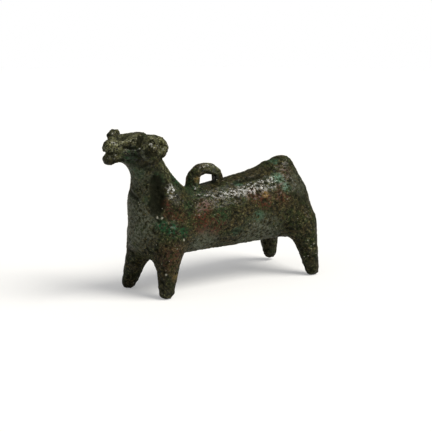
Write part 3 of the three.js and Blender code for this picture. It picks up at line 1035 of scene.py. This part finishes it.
@dataclass
class Mixer:
    """Lays the patina's colours over each other in one material."""

    tree: bpy.types.NodeTree
    blotch: bpy.types.NodeTree
    grain: bpy.types.NodeTree
    place: bpy.types.NodeSocket = field(init=False)

    def __post_init__(self) -> None:
        """Finds where on the ram each point is."""
        self.place = self.tree.nodes.new("ShaderNodeTexCoord").outputs["Object"]

    def mask(self, cover: Cover) -> bpy.types.NodeSocket:
        """The mask of one cover.

        Args:
            cover: a painted layer, clouds or grains.

        Returns:
            A value from 0 to 1.
        """
        if isinstance(cover, Mask):
            node = self.tree.nodes.new("ShaderNodeAttribute")
            node.attribute_name = cover.value
            return node.outputs["Fac"]
        scale = 1.0 / (cover.size * MM)
        if isinstance(cover, Mottle):
            return self._effect(
                self.blotch, Scale=scale, Detail=cover.detail, Low=cover.low, High=cover.high
            )
        return self._effect(self.grain, Scale=scale, Share=cover.share)

    def shared(self, covers: tuple[Cover, ...], share: float = 1.0) -> bpy.types.NodeSocket:
        """Where several covers all show.

        Args:
            covers: the covers.
            share: how much shows where they are all full.

        Returns:
            A value from 0 to the share.
        """
        first, *others = [self.mask(cover) for cover in covers]
        for other in others:
            first = self._times(first, other)
        return first if share == 1.0 else self._times(first, share)

    def lay(self, under: bpy.types.NodeSocket | Colour, layer: Layer) -> bpy.types.NodeSocket:
        """Lays a layer over what is below.

        Args:
            under: the colour below.
            layer: the layer on top.

        Returns:
            The colour that shows.
        """
        mix = self.tree.nodes.new("ShaderNodeMix")
        mix.label = layer.name
        mix.data_type = "RGBA"
        below, above = (s for s in mix.inputs if s.type == "RGBA")
        self.tree.links.new(self.shared(layer.covers, layer.share), mix.inputs[0])
        if isinstance(under, bpy.types.NodeSocket):
            self.tree.links.new(under, below)
        else:
            below.default_value = (*under, 1.0)
        above.default_value = (*layer.colour, 1.0)
        return next(s for s in mix.outputs if s.type == "RGBA")

    def _effect(self, group: bpy.types.NodeTree, **values: float) -> bpy.types.NodeSocket:
        """Places a group with its own values.

        Args:
            group: the node group.
            values: its inputs by name.

        Returns:
            Its mask.
        """
        node = self.tree.nodes.new("ShaderNodeGroup")
        node.node_tree = group
        self.tree.links.new(self.place, node.inputs["Place"])
        for name, value in values.items():
            node.inputs[name].default_value = value
        return node.outputs["Mask"]

    def _times(
        self, first: bpy.types.NodeSocket, second: bpy.types.NodeSocket | float
    ) -> bpy.types.NodeSocket:
        """Multiplies one mask by another, or by a number.

        Args:
            first: the mask.
            second: the other mask, or the number.

        Returns:
            The product.
        """
        node = self.tree.nodes.new("ShaderNodeMath")
        node.operation = "MULTIPLY"
        self.tree.links.new(first, node.inputs[0])
        if isinstance(second, float):
            node.inputs[1].default_value = second
        else:
            self.tree.links.new(second, node.inputs[1])
        return node.outputs["Value"]


@dataclass(frozen=True)
class PatinaFinish:
    """The dark patina: its layers from the metal outwards, among them dirt and painted shade, its broken
    sheen and its fine relief.
    """

    layers: tuple[Layer, ...] = (
        Layer("brown", (0.057, 0.044, 0.014), (Mottle(1.0, 0.44, 0.58),)),
        Layer("moss", (0.026, 0.038, 0.009), (Mottle(5.0, 0.44, 0.58), Mottle(1.0, 0.38, 0.56))),
        Layer("light grain", (0.210, 0.185, 0.080), (Mottle(0.7, 0.54, 0.66, 2.0),), 0.6),
        Layer("grey", (0.145, 0.160, 0.112), (Mask.GREY, Mottle(0.9, 0.34, 0.66))),
        Layer("olive", (0.130, 0.130, 0.052), (Mask.OLIVE, Mottle(1.0, 0.40, 0.60))),
        Layer("pale grain", (0.330, 0.340, 0.190), (Mask.OLIVE, Mottle(0.5, 0.56, 0.64, 2.0))),
        Layer("cuprite", (0.095, 0.027, 0.011), (Mask.CUPRITE, Mottle(0.9, 0.44, 0.60))),
        Layer("green", (0.005, 0.058, 0.020), (Mask.GREEN, Mottle(1.0, 0.42, 0.58))),
        Layer("turquoise", (0.060, 0.160, 0.090), (Mask.TURQUOISE, Mottle(0.9, 0.38, 0.56))),
        Layer("ochre", (0.300, 0.190, 0.060), (Mask.OCHRE, Mottle(0.8, 0.36, 0.56))),
        # Dirt in the pits, and painted shade in the cut strokes: gaps, hollows, creases, mouth and eye.
        Layer("dirt in pits and painted shade in cuts", DARK, (Mask.HOLLOW,), 0.8),
        # Painted shade in hollows and under the head, and darker tone on the legs, rump and far curl.
        Layer("shade", DARK, (Mask.SHADE, Mottle(1.6, 0.26, 0.52))),
        Layer("dark specks", DARK, (Grains(0.6, 0.10),), 0.6),
        Layer("chalk specks", CHALK, (Grains(0.45, 0.004),), 0.6),
        Layer("chalk dots", CHALK, (Mask.CHALK,)),
    )
    metallic: float = 0.3
    specular: float = 0.12
    roughness: float = 0.6
    sheen: tuple[Cover, ...] = (Mottle(0.9, 0.40, 0.58, 3.0), Mask.POLISH)
    sheen_ior: float = 1.75
    sheen_roughness: float = 0.26
    grain: FineRelief = FineRelief(Mottle(0.9, 0.30, 0.70, 3.0), 0.8, 0.30)
    pitting: FineRelief = FineRelief(Mottle(0.35, 0.30, 0.70, 2.0), 0.7, 0.12)

    def build(self) -> bpy.types.Material:
        """Makes the patina's material.

        Returns:
            The material.
        """
        material = bpy.data.materials.new("bronze_patina")
        material.use_nodes = True
        tree = material.node_tree
        shader = tree.nodes["Principled BSDF"]
        shader.inputs["Metallic"].default_value = self.metallic
        shader.inputs["Specular IOR Level"].default_value = self.specular
        shader.inputs["Roughness"].default_value = self.roughness
        shader.inputs["Coat IOR"].default_value = self.sheen_ior
        shader.inputs["Coat Roughness"].default_value = self.sheen_roughness
        mix = Mixer(tree, BlotchEffect().group(), GrainEffect().group())
        colour: bpy.types.NodeSocket | Colour = DARK
        for layer in self.layers:
            colour = mix.lay(colour, layer)
        tree.links.new(colour, shader.inputs["Base Color"])
        tree.links.new(mix.shared(self.sheen), shader.inputs["Coat Weight"])
        tree.links.new(self._normal(mix), shader.inputs["Normal"])
        return material

    def _normal(self, mix: Mixer) -> bpy.types.NodeSocket:
        """Bends the normals for the cast grain, with smaller pitting over it.

        Args:
            mix: the material's mixer.

        Returns:
            The normal.
        """
        bumps = []
        for relief in (self.grain, self.pitting):
            bump = mix.tree.nodes.new("ShaderNodeBump")
            bump.inputs["Strength"].default_value = relief.strength
            bump.inputs["Distance"].default_value = relief.height * MM
            mix.tree.links.new(mix.mask(relief.pattern), bump.inputs["Height"])
            bumps.append(bump)
        grain, pitting = bumps
        mix.tree.links.new(grain.outputs["Normal"], pitting.inputs["Normal"])
        return pitting.outputs["Normal"]


@dataclass
class Ram:
    """The ram: its cast form, the modeller's marks, its aged skin, its staining with painted shade and
    highlight, and its patina.

    Dirt fills a pit that is pit_dirt deep, and painted shade fills a stroke that is cut_shade deep; skin with
    neither on it has at least a faint sheen.
    """

    casting: Casting = field(default_factory=Casting)
    head: Head = field(default_factory=Head)
    body: Body = field(default_factory=Body)
    burial: Burial = field(default_factory=Burial)
    staining_and_painted_light: StainsAndPaintedLight = field(default_factory=StainsAndPaintedLight)
    finish: PatinaFinish = field(default_factory=PatinaFinish)
    pit_dirt: float = 0.22
    # Depth of a cut stroke at which its painted shade is full.
    cut_shade: float = 0.5
    faint_sheen: float = 0.15

    def build(self, source: bpy.types.Object, limits: np.ndarray) -> bpy.types.Object:
        """Makes the ram and puts it in the solid's place.

        Args:
            source: the node of the frame.
            limits: the lowest and highest corner of the solid's box, in millimetres.

        Returns:
            The finished piece.
        """
        ram = self.casting.build(source)
        skin = Skin(ram.data, limits)
        self.body.model(skin)
        self.head.model(skin)
        self._paint_staining_and_light(skin, self.burial.age(skin))
        ram.data.materials.append(self.finish.build())
        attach(ram, "root")
        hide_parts(NODE)
        return ram

    def _paint_staining_and_light(self, skin: Skin, relief: np.ndarray) -> None:
        """Paints each layer: the staining with its painted shade and highlight, the dirt in the pits with the
        painted shade in the cuts, and the sheen of the skin between.

        Args:
            skin: the skin to paint.
            relief: the height of the pits and crusts at each point, in millimetres.
        """
        layers = {mask: np.zeros(len(skin.points)) for mask in Mask}
        for patch in self.staining_and_painted_light.both_sides():
            layer = skin.near(patch.at, patch.reach) * patch.strength
            layers[patch.mask] = np.maximum(layers[patch.mask], layer)
        # Dirt in the pits, and painted shade in the cut strokes.
        layers[Mask.HOLLOW] = smoothstep(np.maximum(-relief / self.pit_dirt, skin.cut / self.cut_shade))
        sheen = np.maximum(layers[Mask.POLISH], self.faint_sheen)
        layers[Mask.POLISH] = sheen * (1.0 - layers[Mask.HOLLOW])
        for mask, values in layers.items():
            skin.paint(mask, values)


def corners(box: tuple[Vector, Vector]) -> list[list[float]]:
    """The lowest and highest corner of a box as plain lists."""
    return [list(corner) for corner in box]


def main() -> None:
    """Builds the scene round the frame, in order."""
    logging.basicConfig(level=logging.INFO, format="%(name)s: %(message)s")
    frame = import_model()
    solid_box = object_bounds()
    Shot().build()
    Studio().build()
    ram = Ram().build(frame["nodes"][NODE], np.array(corners(solid_box)) / MM)
    LOG.info("%s: %d points, %d faces", ram.name, len(ram.data.vertices), len(ram.data.polygons))


if __name__ == "__main__":
    main()
